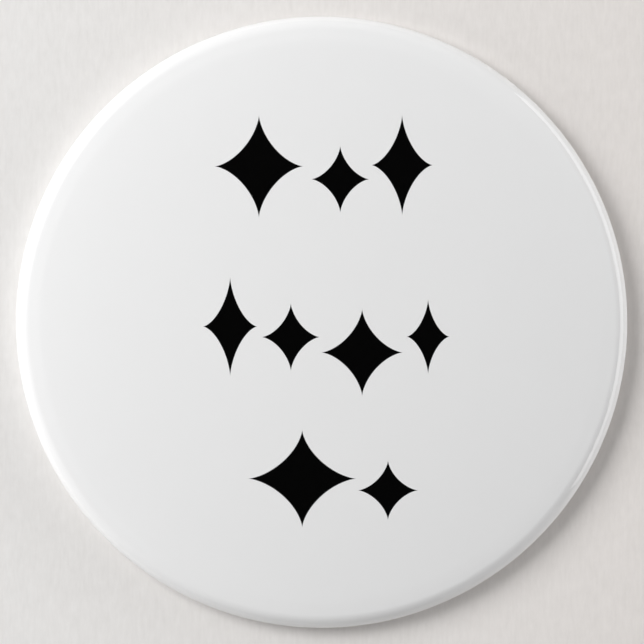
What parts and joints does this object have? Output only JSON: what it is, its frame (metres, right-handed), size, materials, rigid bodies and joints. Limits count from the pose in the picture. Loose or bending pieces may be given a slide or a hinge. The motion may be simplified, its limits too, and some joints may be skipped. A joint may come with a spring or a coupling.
{
  "type": "button badge",
  "caption": "Round domed button badge with a clear film over a printed face, rolled rim and a locking bar pin on its dished back.",
  "frame": {"origin": "under the centre of the face, on the surface that the back rim rests on", "axes": "+Z out of the face, +Y up the artwork, +X to the right seen from the front"},
  "size_m": [0.1524, 0.1524, 0.0104],
  "materials": {
    "clear_film": "clear glossy polyester film",
    "printed_paper": "smooth white printed paper with black shapes",
    "tinplate": "bright tin-plated sheet steel",
    "nickel_plate": "bright nickel plate on steel",
    "pin_wire": "polished nickel-plated spring wire"
  },
  "bodies": {
    "badge": {"clear_film": "clear_film", "printed_insert": "printed_paper", "front_shell": "tinplate", "back_plate": "tinplate", "rivet_left": "nickel_plate", "rivet_right": "nickel_plate", "pin_bar": "nickel_plate", "hinge_rivet": "nickel_plate", "catch_housing": "nickel_plate"},
    "stem": {"pin_stem": "pin_wire"},
    "collar": {"lock_collar": "nickel_plate"}
  },
  "joints": [
    {"name": "stem_hinge", "type": "hinge", "parent": "badge", "child": "stem", "pos_m": [-0.026, 0.025, 0.0032], "axis": [0, 1, 0], "range_deg": [0, 80]},
    {"name": "collar_turn", "type": "hinge", "parent": "badge", "child": "collar", "pos_m": [0.0246, 0.025, 0.0032], "axis": [-1, 0, 0], "range_deg": [0, 96]}
  ]
}
